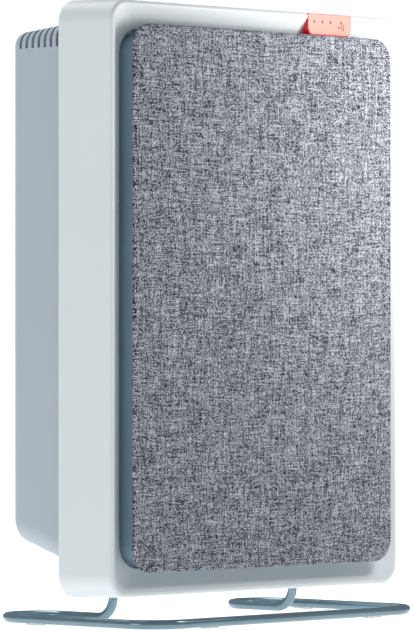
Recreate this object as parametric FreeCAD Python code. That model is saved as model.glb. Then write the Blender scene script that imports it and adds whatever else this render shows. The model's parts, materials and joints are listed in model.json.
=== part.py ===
import FreeCAD, Part
import math
import os
from collections import namedtuple
from FreeCAD import Vector

# Desktop air purifier on a bent wire stand, in millimetres.
# X runs to the right as one faces the front, Y runs back, Z runs up from the table.
# Depths are counted back from the front plane of the frame and moved to the origin on export.

# ---- driving dimensions: front frame ----
frame_width = 245.0
frame_height = 334.0
frame_depth = 40.5
frame_lift = 17.7             # table to the lower edge of the frame
frame_corner = 12.0
frame_draft = 1.3             # how much each side widens from front to back
frame_wall = 2.5
front_edge_radius = 2.0
rear_edge_radius = 1.2
dish_start = 2.3              # frame edge to the start of the dish
dish_depth = 8.5
opening_margin = 15.4         # frame edge to the front opening
opening_corner = 14.0
sleeve_wall = 2.0
fit_gap = 0.3                 # clearance between plastic parts that nest
seat_gap = 0.2                # clearance between faces that seat on each other

# ---- driving dimensions: front panel ----
panel_side_margin = 12.4
panel_top_margin = 13.2
panel_bottom_margin = 13.8
panel_corner = 13.5
panel_proud = 5.8
fabric_thickness = 0.5
fabric_return = 9.0           # fabric folded over behind the board
board_thickness = 0.9
tray_gap = 2.8                # air gap between the tray and the opening
tray_wall = 1.8
tray_back = 12.0
tray_rib_pitch = 48.0
magnet_radius = 4.0
magnet_thickness = 2.8
magnet_inset = 22.0           # side of the opening to the magnets
cup_wall = 1.5
catch_gap = 0.4               # magnets to the steel plates
catch_thickness = 1.2
catch_margin = 1.0            # how much wider than the magnets the plates are

# ---- driving dimensions: filter ----
filter_gap = 1.0              # filter to the sleeve, all round
prefilter_gap = 2.9           # ledges to the coarse filter
prefilter_thickness = 2.0
prefilter_rim = 7.0
filter_wall = 3.0
seal_thickness = 1.1
seal_width = 7.0
pleat_pitch = 8.0
pleat_sheet = 1.0
prefilter_bar = 3.0
ribbon_width = 18.0
ribbon_height = 34.0
ribbon_thickness = 0.8

# ---- driving dimensions: rear shell ----
shell_side_inset = 7.0
shell_top_inset = 10.7
shell_bottom_inset = 15.0
shell_depth = 49.3            # how far the shell stands out behind the frame
shell_wall = 2.5
shell_corner = 8.4
shell_foot_corner = 14.4
shell_side_slope = 4.15       # degrees
shell_top_slope = 5.0
shell_bottom_slope = 16.3
shell_back_radius = 7.5
slot_count = 7
slot_pitch = 5.2
slot_width = 2.2
slot_start = 9.4              # back of the frame to the first slot
slot_drop = 13.6              # how far the slots come down over the shell's upper corners
slat_rib_pitch = 36.0

# ---- driving dimensions: fan ----
fan_rise = 5.3                # fan axis above the middle of the frame
fan_floor_gap = 12.3          # main board to the scroll
fan_side_gap = 14.4           # shell's inner side to the scroll's start
fan_front_gap = 5.2           # deck to the fan wheel
fan_back_room = 14.8          # back of the fan wheel to the back of the shell
blade_count = 32
blade_thickness = 1.2
hub_flare = 10.0
inlet_rim = 17.0              # how much smaller than the fan wheel the inlet is
inlet_lip_depth = 3.7
scroll_gap = 6.0              # fan wheel to the start of the scroll
scroll_growth = 17.0          # added radius over one turn
scroll_wall = 1.8
rotor_radius = 26.0
rotor_depth = 18.0
rotor_wall = 1.6
rotor_magnet_thickness = 2.0
air_gap = 0.6
pole_count = 9
stator_inset = 4.5            # ends of the rotor to the ends of the core
tube_radius = 5.5
bearing_radius = 4.0
bearing_length = 4.0
shaft_radius = 1.5
shaft_clearance = 0.03
motor_plate_gap = 4.5         # fan wheel to the motor's plate
motor_plate_thickness = 1.5
bush_radius = 5.0
bush_lip = 1.5                # rubber in front of the plate
bush_foot = 2.0               # rubber behind the plate

# ---- driving dimensions: control tab ----
tab_left = 42.9
tab_width = 38.0
tab_height = 12.5
tab_proud = 0.3
tab_face_thickness = 0.5
tab_face_lift = 0.6           # red edge left below the face plate
tab_strip = 1.4
tab_back = 22.0
tab_corner = 4.0
tab_edge_radius = 0.3
tab_travel_room = 1.0
tab_wedge_gap = 0.7           # tab's wedge to the dish
tab_pin_radius = 0.6
tab_barrel_radius = 1.4
tab_stem_radius = 1.6
tab_cheek = 4.0
lamp_radius = 0.8
lamp_drop = 4.7
lamp_first = 5.1
lamp_steps = (0.0, 7.2, 14.2, 23.7)
symbol_drop = 7.4
symbol_height = 0.12
symbol_line = 0.5
symbol_arcs = (2.4, 4.2)
display_drop = 10.1           # frame top to the display board
display_thickness = 1.2
display_back = 32.0
lamp_block_depth = 1.8
switch_height = 0.5
switch_gap = 0.5              # key's stem to the switch

# ---- driving dimensions: wire stand ----
wire_radius = 2.7
pad_thickness = 0.6
pad_lip = 0.8                 # how far the pads come up round the wire
pad_length = 12.0
pad_width = 3.4
stand_side_inset = 8.2        # side of the frame to the centre line of the wire
stand_front = -25.7           # centre line of the front bar
stand_corner = 22.0
stand_overhang = 11.2         # rearmost point of the centre line behind the shell
loop_width = 37.6
leg_clearance = 2.1           # flange to the middle of the legs
leg_bend = 12.0
leg_top = 62.0
block_width = 20.0
block_height = 20.0
block_depth = 12.0

# ---- fasteners ----
screw_radius = 1.5
screw_head_radius = 2.9
screw_head_height = 2.0
flush_head_depth = 1.4
post_radius = 3.8
post_gap = 0.1                # screw posts to the frame's outer wall
deck_post_radius = 4.5

Outline = namedtuple("Outline", "half low high corner foot", defaults=[None])

frame_top = frame_lift + frame_height
frame_outline = Outline(frame_width / 2, frame_lift, frame_top, frame_corner)
wire_height = pad_thickness + wire_radius
shell_back = frame_depth + shell_depth
flange_front = frame_depth - frame_wall - seat_gap
flange_back = flange_front + frame_wall
dish_slope = dish_depth / (opening_margin - dish_start)
magnet_drop = tray_gap + tray_wall + magnet_radius
ledge_front = tray_back + catch_gap + catch_thickness
prefilter_front = ledge_front + prefilter_gap
filter_front = prefilter_front + prefilter_thickness
ledge_height = max(magnet_drop + magnet_radius + catch_margin + 2 * fit_gap, opening_corner)
filter_back = flange_front - seat_gap - seal_thickness
tab_right = tab_left + tab_width
tab_middle = (tab_left + tab_right) / 2
tab_pin_depth = tab_back - 2
tab_pin_height = frame_top - tab_barrel_radius - 0.3
display_top = frame_top - display_drop
display_front = dish_slope * (display_drop + display_thickness - dish_start) + frame_wall + fit_gap
tab_stem_depth = display_front + lamp_block_depth + tab_stem_radius + 4 * fit_gap
stem_low = display_top + switch_height + switch_gap
lamp_height = frame_top - lamp_drop
slot_first = frame_depth + slot_start
stand_half_width = frame_width / 2 - stand_side_inset
stand_rear = shell_back + stand_overhang
leg_spread = stand_half_width - loop_width
leg_depth = flange_back + leg_clearance
stand_centre = (stand_front + stand_rear) / 2
to_origin = Vector(0, -stand_centre, 0)

# ---- main board, and the fan fitted between it and the shell's sides ----
board_low = frame_lift + shell_bottom_inset + 24
board_high = board_low + 26
board_half = 55.0
board_depth = shell_back - 15.8
board_gauge = 1.6
inlet_x = 38.0
inlet_z = board_low + 13
fan_height = frame_lift + frame_height / 2 + fan_rise
shell_narrowing = shell_depth * math.tan(math.radians(shell_side_slope))
shell_room = frame_width / 2 - shell_side_inset - shell_narrowing - shell_wall
impeller_radius = min(fan_height - board_high - fan_floor_gap, shell_room - fan_side_gap) - 20
impeller_front = flange_back + fan_front_gap
impeller_back = shell_back - fan_back_room
blade_chord_inner = impeller_radius * 0.8
inlet_radius = impeller_radius - inlet_rim
inlet_lip = flange_back + inlet_lip_depth
scroll_start_radius = impeller_radius + scroll_gap
rotor_back = impeller_back - 1
rotor_front = rotor_back - rotor_depth
stator_front = rotor_front + stator_inset
stator_back = rotor_back - stator_inset
motor_plate_front = impeller_back + motor_plate_gap
motor_ear_radius = impeller_radius * 2 / 3

# ---- outlines and simple solids ----


def grow(outline, amount):
    """The same outline moved outwards by an amount, or inwards when it is negative."""
    corner = max(outline.corner + amount, 0.5)
    foot = None if outline.foot is None else max(outline.foot + amount, 0.5)
    return Outline(outline.half + amount, outline.low - amount, outline.high + amount, corner, foot)


def corner_arc(x, z, radius, x_side, z_side, depth):
    """A quarter circle about a corner's centre, its two ends in order round the outline."""
    across = Vector(x + x_side * radius, depth, z)
    along = Vector(x, depth, z + z_side * radius)
    slant = radius * math.sqrt(0.5)
    middle = Vector(x + x_side * slant, depth, z + z_side * slant)
    first, last = (along, across) if x_side * z_side < 0 else (across, along)
    return first, middle, last


def outline_wire(outline, depth):
    """A rounded rectangle that stands at one depth."""
    half, low, high, corner, foot = outline
    foot = corner if foot is None else foot
    arcs = [
        corner_arc(half - foot, low + foot, foot, 1, -1, depth),
        corner_arc(half - corner, high - corner, corner, 1, 1, depth),
        corner_arc(-half + corner, high - corner, corner, -1, 1, depth),
        corner_arc(-half + foot, low + foot, foot, -1, -1, depth),
    ]
    edges = []
    for index, (first, middle, last) in enumerate(arcs):
        following = arcs[(index + 1) % len(arcs)][0]
        edges.append(Part.Arc(first, middle, last).toShape())
        edges.append(Part.LineSegment(last, following).toShape())
    return Part.Wire(edges)


def slab(outline, front, back):
    """A plate of one outline between two depths."""
    return Part.Face(outline_wire(outline, front)).extrude(Vector(0, back - front, 0))


def taper(front_outline, front, back_outline, back):
    """A block that changes from one outline to another."""
    wires = [outline_wire(front_outline, front), outline_wire(back_outline, back)]
    return Part.makeLoft(wires, True, True)


def ring(outline, width, front, back):
    """A flat frame that follows an outline."""
    inner = slab(grow(outline, -width), front - 1, back + 1)
    return slab(outline, front, back).cut(inner)


def block(left, right, front, back, low, high):
    """A box given by its six faces."""
    return Part.makeBox(right - left, back - front, high - low, Vector(left, front, low))


def rod(x, z, radius, front, back):
    """A round bar that runs front to back."""
    return Part.makeCylinder(radius, back - front, Vector(x, front, z), Vector(0, 1, 0))


def upright(x, depth, radius, low, high):
    """A round bar that stands up."""
    return Part.makeCylinder(radius, high - low, Vector(x, depth, low), Vector(0, 0, 1))


def crossbar(depth, z, radius, left, right):
    """A round bar that runs from left to right."""
    return Part.makeCylinder(radius, right - left, Vector(left, depth, z), Vector(1, 0, 0))


def tube(x, z, outer, inner, front, back):
    """A round sleeve that runs front to back."""
    return rod(x, z, outer, front, back).cut(rod(x, z, inner, front - 1, back + 1))


def joined(shapes):
    """One shape from several that touch or overlap."""
    shapes = list(shapes)
    whole = shapes[0]
    if len(shapes) > 1:
        whole = whole.fuse(shapes[1:])
    return whole.removeSplitter()


def group(shapes):
    """Several loose solids kept under one name."""
    return Part.makeCompound(list(shapes))


def edges_at(shape, depth):
    """The edges that lie in one front-to-back plane."""
    return [edge for edge in shape.Edges if all(abs(point.Y - depth) < 1e-6 for point in edge.Vertexes)]


def screw(x, z, head_seat, length, direction):
    """A pan-head screw whose head sits at a depth and whose shank runs in a direction."""
    start = Vector(x, head_seat, z)
    along = Vector(0, direction, 0)
    shank = Part.makeCylinder(screw_radius, length, start, along)
    head = Part.makeCylinder(screw_head_radius, screw_head_height, start, along * -1)
    face = start - along * screw_head_height
    slot = Part.makeBox(screw_head_radius * 1.2, 0.8, 0.7)
    slot.translate(face + Vector(-screw_head_radius * 0.6, -0.4, -0.35))
    cross = slot.copy()
    cross.rotate(face, Vector(0, 1, 0), 90)
    return shank.fuse(head).cut(slot).cut(cross)


# ---- front frame ----


def draft_at(depth):
    """How much wider than its front edge the frame is, on each side, at a depth."""
    return frame_draft * depth / frame_depth


def frame_block(inset, front, back):
    """The frame's outer form, inset all round, between two depths."""
    first = grow(frame_outline, draft_at(front) - inset)
    last = grow(frame_outline, draft_at(back) - inset)
    return taper(first, front, last, back)


opening_outline = Outline(
    frame_outline.half - opening_margin,
    frame_outline.low + opening_margin,
    frame_outline.high - opening_margin,
    opening_corner,
)


filter_room = Outline(
    opening_outline.half,
    opening_outline.low + ledge_height,
    opening_outline.high - ledge_height,
    opening_corner / 2,
)


def dish(shift):
    """The sloped hollow in the front of the frame, moved back by a shift."""
    rim = grow(frame_outline, -dish_start)
    return taper(rim, shift, opening_outline, dish_depth + shift)


def frame_screw_places():
    """Where the screws from the rear flange enter the frame, above and below the shell."""
    low = frame_outline.low + frame_wall + post_radius + post_gap
    high = frame_outline.high - frame_wall - post_radius - post_gap
    side = frame_outline.half - frame_corner - post_radius
    return [(x, z) for z in (low, high) for x in (-side, 0, side)]


def tab_pocket():
    """Room cut in the frame for the control tab, its pin and its travel."""
    left = tab_left - fit_gap
    right = tab_right + fit_gap
    deep = tab_strip + tab_travel_room
    back = tab_back + fit_gap
    barrel_room = tab_barrel_radius + 0.4
    cuts = [
        block(left, right, -1, deep, frame_top - tab_height, frame_top + 1),
        block(left, right, -1, back, frame_top - deep, frame_top + frame_wall),
        block(left, right, tab_pin_depth - barrel_room, back, tab_pin_height - barrel_room, frame_top),
        upright(tab_middle, tab_stem_depth, tab_stem_radius + 0.8, display_top - 1, frame_top),
        block(tab_left + 2.7, tab_right - 6.7, 0, display_front + lamp_block_depth + fit_gap,
              lamp_height - 1.5, lamp_height + 1.5),
        crossbar(tab_pin_depth, tab_pin_height, tab_pin_radius + 0.02, left - 3, right + 3),
    ]
    return cuts[0].fuse(cuts[1:])


def front_frame():
    """White frame: skin, dished face, throat, ledges that carry the catch plates, filter sleeve, posts."""
    body = frame_block(0, 0, frame_depth)
    body = body.makeFillet(front_edge_radius, edges_at(body, 0))
    body = body.makeFillet(rear_edge_radius, edges_at(body, frame_depth))
    hollow = frame_block(frame_wall, frame_wall, frame_depth + 1)
    throat = slab(grow(opening_outline, sleeve_wall), 0, ledge_front + sleeve_wall)
    sleeve = slab(grow(filter_room, sleeve_wall), ledge_front, flange_front - seat_gap)
    hollow = hollow.cut(dish(frame_wall)).cut([throat, sleeve])
    body = body.cut(hollow)
    opening = slab(opening_outline, dish_depth - 1, ledge_front)
    room = slab(filter_room, ledge_front - 1, frame_depth + 1)
    body = body.cut([dish(0), opening, room])
    backing = block(tab_left - tab_cheek, tab_right + tab_cheek, 1.6, tab_back + 2, frame_top - 5,
                    frame_top - 1)
    posts = [rod(x, z, post_radius, 5, flange_front - seat_gap) for x, z in frame_screw_places()]
    holes = [rod(x, z, screw_radius + 0.05, 14, frame_depth) for x, z in frame_screw_places()]
    body = joined([body, backing] + posts)
    body = body.cut(dish(0))
    return body.cut(holes + leg_rooms() + [tab_pocket()])


# ---- front panel ----

fabric_outline = Outline(
    frame_outline.half - panel_side_margin,
    frame_outline.low + panel_bottom_margin,
    frame_outline.high - panel_top_margin,
    panel_corner,
)
board_front = -panel_proud + fabric_thickness
board_back = board_front + board_thickness
tray_outline = grow(opening_outline, -tray_gap)


def panel_fabric():
    """Woven cover stretched over the board, round its edge and a little way in behind."""
    outer = slab(fabric_outline, -panel_proud, board_back + fabric_thickness)
    board_room = slab(grow(fabric_outline, -fabric_thickness), board_front, board_back)
    back_room = slab(grow(fabric_outline, -fabric_return), board_back - 1, board_back + 5)
    cover = outer.cut(board_room).cut(back_room)
    return cover


def panel_board():
    """Stiff board that the cover is stretched over."""
    return slab(grow(fabric_outline, -fabric_thickness), board_front, board_back)


def magnet_places():
    """The four corners where magnets hold the panel to the frame."""
    side = opening_outline.half - magnet_inset
    rows = (opening_outline.low + magnet_drop, opening_outline.high - magnet_drop)
    return [(x, z) for x in (-side, side) for z in rows]


def panel_tray():
    """Shallow tray behind the board, with ribs and magnet cups."""
    front = board_back
    body = slab(grow(tray_outline, 0), front + fabric_thickness, tray_back)
    seat = slab(grow(fabric_outline, -fabric_return - 0.4), front, front + fabric_thickness + 0.1)
    inner = slab(grow(tray_outline, -tray_wall), front + fabric_thickness + tray_wall, tray_back + 1)
    body = body.fuse(seat).cut(inner)
    ribs = []
    rows = int((tray_outline.high - tray_outline.low) / tray_rib_pitch)
    for row in range(1, rows + 1):
        height = tray_outline.low + row * tray_rib_pitch
        if height < tray_outline.high - 5:
            ribs.append(block(-tray_outline.half + 1, tray_outline.half - 1, front + 1, tray_back - 4,
                              height - 0.8, height + 0.8))
    cups = [rod(x, z, magnet_radius + cup_wall, front + 1, tray_back) for x, z in magnet_places()]
    body = joined([body] + ribs + cups)
    room = magnet_thickness + seat_gap
    return body.cut([rod(x, z, magnet_radius + 0.1, tray_back - room, tray_back + 1)
                     for x, z in magnet_places()])


def panel_magnets():
    """Round magnets pressed into the tray's cups."""
    back = tray_back - 0.1
    return group(rod(x, z, magnet_radius, back - magnet_thickness, back) for x, z in magnet_places())


def catch_plates():
    """Steel plates on the frame's ledges that the magnets pull against."""
    reach = magnet_radius + catch_margin
    front = ledge_front - catch_thickness
    return group(block(x - reach, x + reach, front, ledge_front, z - reach, z + reach)
                 for x, z in magnet_places())


# ---- filter ----

filter_outline = grow(filter_room, -filter_gap)


def prefilter_frame():
    """Rim and cross bars of the washable coarse filter."""
    front = prefilter_front
    rim = ring(filter_outline, prefilter_rim, front, prefilter_front + prefilter_thickness)
    back = front + prefilter_thickness
    half_bar = prefilter_bar / 2
    reach = filter_outline.half - 1
    run = filter_outline.high - filter_outline.low
    bars = [block(-half_bar, half_bar, front, back, filter_outline.low + 2, filter_outline.high - 2)]
    for share in (0.25, 0.5, 0.75):
        height = filter_outline.low + run * share
        bars.append(block(-reach, reach, front, back, height - half_bar, height + half_bar))
    window = slab(grow(filter_outline, -prefilter_rim + 1.5), front + 0.8, front + 1.3)
    return joined([rim] + bars).cut(window)


def prefilter_mesh():
    """Fine net held inside the coarse filter's rim."""
    front = prefilter_front + 0.85
    return slab(grow(filter_outline, -prefilter_rim + 1.3), front, front + 0.4)


def filter_frame():
    """Card frame round the pleated filter."""
    return ring(filter_outline, filter_wall, filter_front, filter_back)


def filter_media():
    """Pleated sheet that fills the card frame."""
    inside = grow(filter_outline, -filter_wall - seat_gap)
    front = filter_front + 1.5
    back = filter_back - 1.5
    count = int((2 * inside.half - 4) / pleat_pitch)
    start = -count * pleat_pitch / 2
    shift = pleat_sheet * 2.2
    near = []
    far = []
    for fold in range(2 * count + 1):
        x = start + fold * pleat_pitch / 2
        crest = fold % 2 == 0
        near.append(Vector(x, front if crest else back - shift, inside.low + 2))
        far.append(Vector(x, front + shift if crest else back, inside.low + 2))
    corners = near + far[::-1]
    face = Part.Face(Part.makePolygon(corners + corners[:1]))
    return face.extrude(Vector(0, 0, inside.high - inside.low - 4))


def filter_seal():
    """Foam strip on the back of the card frame."""
    return ring(filter_outline, seal_width, filter_back, filter_back + seal_thickness)


def filter_ribbon():
    """Ribbon at the top of the filter for pulling it out."""
    half = ribbon_width / 2
    top = filter_outline.high - 4
    back = prefilter_front
    return block(-half, half, back - ribbon_thickness, back, top - ribbon_height, top)


# ---- rear shell ----


def shell_outline(depth, inset):
    """Outline of the rear shell at a depth, inset by a wall."""
    run = depth - flange_back
    return Outline(
        frame_outline.half - shell_side_inset - inset - run * math.tan(math.radians(shell_side_slope)),
        frame_outline.low + shell_bottom_inset + inset + run * math.tan(math.radians(shell_bottom_slope)),
        frame_outline.high - shell_top_inset - inset - run * math.tan(math.radians(shell_top_slope)),
        shell_corner - inset,
        shell_foot_corner - inset,
    )


def shell_form(inset, front, back):
    """The bulged form of the rear shell, with its back edge rounded."""
    body = taper(shell_outline(front, inset), front, shell_outline(back, inset), back)
    return body.makeFillet(shell_back_radius - inset, edges_at(body, back))


def deck_post_places():
    """Posts in the shell's corners that carry the fan deck."""
    outline = grow(shell_outline(shell_back, shell_wall), -12)
    return [(x, z) for x in (-outline.half, outline.half) for z in (outline.low, outline.high)]


def motor_post_places():
    """Posts in the middle of the shell that carry the motor plate."""
    angles = [math.radians(90 + 120 * turn) for turn in range(3)]
    return [(motor_ear_radius * math.cos(a), fan_height + motor_ear_radius * math.sin(a)) for a in angles]


def board_post_places():
    """Posts in the lower part of the shell that carry the main board."""
    return [(x, z) for x in (-board_half + 5, board_half - 5) for z in (board_low + 5, board_high - 5)]


def rear_shell():
    """Grey rear housing with a flange inside the frame and slots across its top."""
    flange_outline = grow(frame_outline, draft_at(flange_front) - frame_wall - fit_gap)
    flange = slab(flange_outline, flange_front, flange_back)
    body = flange.fuse(shell_form(0, flange_front, shell_back))
    hollow = shell_form(shell_wall, flange_front - 1, shell_back - shell_wall)
    body = body.cut(hollow).removeSplitter()
    inner_back = shell_back - shell_wall
    post_front = flange_back + seat_gap
    posts = [rod(x, z, deck_post_radius, post_front, inner_back + 1) for x, z in deck_post_places()]
    plate_seat = motor_plate_front + motor_plate_thickness + bush_foot
    posts += [rod(x, z, 4, plate_seat, inner_back + 1) for x, z in motor_post_places()]
    posts += [rod(x, z, 3, board_depth + board_gauge, inner_back + 1) for x, z in board_post_places()]
    ribs = slat_ribs()
    body = joined([body] + posts + ribs)
    thread = screw_radius + 0.05
    through = screw_radius + fit_gap
    cuts = slots()
    cuts += [rod(x, z, thread, flange_back, flange_back + 20) for x, z in deck_post_places()]
    cuts += [rod(x, z, thread, plate_seat - 1, inner_back - 0.5) for x, z in motor_post_places()]
    cuts += [rod(x, z, 1.1, board_depth, inner_back - 1) for x, z in board_post_places()]
    cuts += [rod(x, z, through, flange_front - 1, flange_back + 1) for x, z in frame_screw_places()]
    cuts += leg_rooms()
    cuts.append(rod(inlet_x, inlet_z, 5.6, inner_back - 2, shell_back + 1))
    return body.cut(cuts)


def leg_rooms():
    """Room for the two legs of the stand where they pass the frame, the flange and the deck."""
    room = wire_radius + fit_gap
    return [upright(side * leg_spread, leg_depth, room, 0, leg_top + 1) for side in (-1, 1)]


def slot_depths():
    """Where the rows of slots lie, front to back."""
    return [slot_first + slot_pitch * row for row in range(slot_count)]


def slots():
    """Cutting blocks for the air slots, which wrap over the shell's upper corners."""
    cuts = []
    for depth in slot_depths():
        outline = shell_outline(depth, 0)
        low = frame_top - shell_top_inset - slot_drop
        reach = outline.half + 5
        beam = shell_outline(depth, shell_wall + 2.5).high
        side_cut = block(-reach, reach, depth - slot_width / 2, depth + slot_width / 2, low, frame_top)
        keep = [block(x - 1, x + 1, depth - 5, depth + 5, 0, beam + 3.6) for x in rib_places()]
        cuts.append(side_cut.cut(keep))
    return cuts


def rib_places():
    """Ribs under the slotted top."""
    reach = int((shell_outline(shell_back, shell_wall).half - 12) / slat_rib_pitch)
    return [slat_rib_pitch * step for step in range(-reach, reach + 1)]


def slat_ribs():
    """Thin ribs below the slats that tie them together."""
    ribs = []
    form = shell_form(shell_wall / 2, flange_back, shell_back - shell_wall / 2)
    low = shell_outline(shell_back, shell_wall).high - 12
    for x in rib_places():
        rib = block(x - 1, x + 1, slot_first - 4, slot_first + slot_pitch * slot_count, low, frame_top)
        ribs.append(rib.common(form))
    return ribs


def shell_screws():
    """Screws that hold the shell's flange to the frame."""
    return group(screw(x, z, flange_back, 16, -1) for x, z in frame_screw_places())


# ---- fan deck and scroll ----


def fan_deck():
    """Partition with the rounded air inlet, screwed to the shell's posts."""
    outline = grow(shell_outline(flange_back, shell_wall), -fit_gap - 0.3)
    plate = slab(outline, flange_front, flange_back)
    lip = rod(0, fan_height, inlet_radius + 2, flange_front, inlet_lip)
    hole = rod(0, fan_height, inlet_radius, 0, 100)
    centre = Vector(0, flange_front, fan_height)
    rounding = Part.makeCone(inlet_radius + 2, inlet_radius, 2, centre, Vector(0, 1, 0))
    body = plate.fuse(lip).cut(hole).cut(rounding)
    places = deck_post_places() + stand_screw_places()
    holes = [rod(x, z, screw_radius + seat_gap, 0, 100) for x, z in places]
    holes += [flush_head(x, z, flange_front, seat_gap) for x, z in places]
    return body.cut(holes + leg_rooms())


def deck_screws():
    """Screws that hold the fan deck, with their heads sunk out of the filter's way."""
    return group(flush_screw(x, z, flange_front, 16) for x, z in deck_post_places())


def flush_head(x, z, face, extra):
    """The cone of a countersunk head, or of the sink for it when it is a little larger."""
    start = Vector(x, face, z)
    wide = screw_head_radius - 0.2 + extra
    return Part.makeCone(wide, screw_radius + extra, flush_head_depth, start, Vector(0, 1, 0))


def flush_screw(x, z, face, length):
    """A countersunk screw that lies flush with a face and runs back."""
    shank = rod(x, z, screw_radius, face + flush_head_depth / 2, face + length)
    return flush_head(x, z, face, 0).fuse(shank).removeSplitter()


def inlet_guard():
    """Rings and spokes that keep fingers off the fan."""
    front = flange_front + 2.4
    back = front + 2
    guard_radii = [inlet_radius * share for share in (0.31, 0.53, 0.76)]
    rings = [tube(0, fan_height, radius, radius - 1.6, front, back) for radius in guard_radii]
    rings.append(tube(0, fan_height, inlet_radius - 0.1, inlet_radius - 2, front, back))
    spokes = []
    for turn in range(8):
        spoke = block(10, inlet_radius - 1, front, back, fan_height - 0.8, fan_height + 0.8)
        spoke.rotate(Vector(0, 0, fan_height), Vector(0, 1, 0), 45 * turn)
        spokes.append(spoke)
    hub = rod(0, fan_height, 11, front, back)
    return joined(rings + spokes + [hub])


def spiral_points(extra):
    """Points along the scroll, whose radius grows as it turns."""
    points = []
    steps = 16
    first = math.radians(58)
    sweep = math.radians(302)
    for step in range(steps + 1):
        share = step / steps
        angle = first + sweep * share
        radius = scroll_start_radius + scroll_growth * share + extra
        points.append(Vector(radius * math.cos(angle), 0, fan_height + radius * math.sin(angle)))
    return points


def scroll_housing():
    """Spiral wall round the fan that leads the air up to the slots."""
    inner = spiral_points(0)
    outer = spiral_points(scroll_wall)
    curves = []
    for points in (inner, outer):
        spline = Part.BSplineCurve()
        spline.interpolate(points)
        curves.append(spline.toShape())
    ends = [Part.LineSegment(inner[end], outer[end]).toShape() for end in (0, -1)]
    face = Part.Face(Part.Wire(Part.__sortEdges__(curves + ends)))
    front = flange_back + seat_gap
    back = shell_back - shell_wall - seat_gap
    wall = face.extrude(Vector(0, back - front, 0))
    wall.translate(Vector(0, front, 0))
    rise = max(z for x, z in deck_post_places()) - deck_post_radius - fit_gap
    outer_wall = block(inner[-1].x, outer[-1].x, front, back, fan_height - 1, rise)
    tongue_left = outer[0].x - scroll_wall - 0.3
    tongue = block(tongue_left, tongue_left + scroll_wall, front, back, inner[0].z - 1, rise)
    return joined([wall, outer_wall, tongue])


# ---- fan and motor ----


def blade(turn):
    """One forward-curved blade."""
    inner = blade_chord_inner
    outer = impeller_radius - 0.8
    bow = 4.0
    start = Vector(inner, 0, 0)
    middle = Vector((inner + outer) / 2, 0, bow)
    end = Vector(outer, 0, 1.5)
    lift = Vector(0, 0, blade_thickness)
    edges = [
        Part.Arc(start, middle, end).toShape(),
        Part.LineSegment(end, end + lift).toShape(),
        Part.Arc(end + lift, middle + lift, start + lift).toShape(),
        Part.LineSegment(start + lift, start).toShape(),
    ]
    solid = Part.Face(Part.Wire(edges)).extrude(Vector(0, impeller_back - impeller_front - 1.5, 0))
    solid.translate(Vector(0, impeller_front + 0.5, fan_height))
    solid.rotate(Vector(0, 0, fan_height), Vector(0, 1, 0), 360 * turn / blade_count)
    return solid


def impeller():
    """Centrifugal fan wheel: back plate, hub cup, blades and front ring."""
    z = fan_height
    back_plate = rod(0, z, impeller_radius, impeller_back - 2, impeller_back)
    front_ring = tube(0, z, impeller_radius, impeller_radius - 7, impeller_front, impeller_front + 2)
    cup = rod(0, z, rotor_radius + 2, rotor_front - 2, impeller_back)
    start = Vector(0, impeller_back - hub_flare, z)
    cone = Part.makeCone(rotor_radius + 2, rotor_radius + 4 + hub_flare, hub_flare, start, Vector(0, 1, 0))
    body = joined([back_plate, front_ring, cup, cone] + [blade(turn) for turn in range(blade_count)])
    room = rod(0, z, rotor_radius, rotor_front, impeller_back + 1)
    nose = rod(0, z, shaft_radius, rotor_front - 5, rotor_front + 1)
    return body.cut([room, nose])


def motor_rotor():
    """Steel can of the motor, pressed into the fan's hub."""
    outer = rod(0, fan_height, rotor_radius, rotor_front, rotor_back)
    inner = rod(0, fan_height, rotor_radius - rotor_wall, rotor_front + rotor_wall, rotor_back + 1)
    return outer.cut([inner, rod(0, fan_height, shaft_radius, rotor_front - 1, rotor_back)])


def rotor_magnet():
    """Magnet ring inside the can."""
    outer = rotor_radius - rotor_wall
    return tube(0, fan_height, outer, outer - rotor_magnet_thickness, rotor_front + 2.5, rotor_back - 1.5)


def motor_shaft():
    """Steel shaft that turns with the can."""
    return rod(0, fan_height, shaft_radius, rotor_front - 2, motor_plate_front + 1)


def motor_stator():
    """Laminated core with its poles."""
    outer = rotor_radius - rotor_wall - rotor_magnet_thickness - air_gap
    core = tube(0, fan_height, tube_radius + 3, tube_radius, stator_front, stator_back)
    rim = tube(0, fan_height, outer, outer - 2, stator_front, stator_back)
    z = fan_height
    poles = []
    gaps = []
    for turn in range(pole_count):
        pole = block(tube_radius + 2, outer - 1, stator_front, stator_back, z - 1.6, z + 1.6)
        gap = block(outer - 4, outer + 1, stator_front - 1, stator_back + 1, z - 0.9, z + 0.9)
        pole.rotate(Vector(0, 0, fan_height), Vector(0, 1, 0), 360 * turn / pole_count)
        gap.rotate(Vector(0, 0, fan_height), Vector(0, 1, 0), 360 * (turn + 0.5) / pole_count)
        poles.append(pole)
        gaps.append(gap)
    return joined([core, rim] + poles).cut(gaps)


def motor_windings():
    """Copper coils, one round each pole."""
    coils = []
    z = fan_height
    outer = rotor_radius - rotor_wall - rotor_magnet_thickness - air_gap
    for turn in range(pole_count):
        left = tube_radius + 4
        right = outer - 3
        coil = block(left, right, stator_front - 2, stator_back + 2, z - 2.9, z + 2.9)
        core = block(left - 1, right + 1, stator_front - 0.1, stator_back + 0.1, z - 1.7, z + 1.7)
        coil = coil.cut(core)
        trim = tube(0, fan_height, 60, right, stator_front - 5, stator_back + 5)
        coil = coil.cut(trim)
        coil.rotate(Vector(0, 0, fan_height), Vector(0, 1, 0), 360 * turn / pole_count)
        coils.append(coil)
    return group(coils)


def bearing_tube():
    """Brass tube that carries the core outside and the bearings inside."""
    back = motor_plate_front
    body = rod(0, fan_height, tube_radius, stator_front - 2.5, back)
    foot = rod(0, fan_height, tube_radius + 5, back - 2, back)
    bore = rod(0, fan_height, bearing_radius, 0, 100)
    return body.fuse(foot).removeSplitter().cut(bore)


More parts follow.
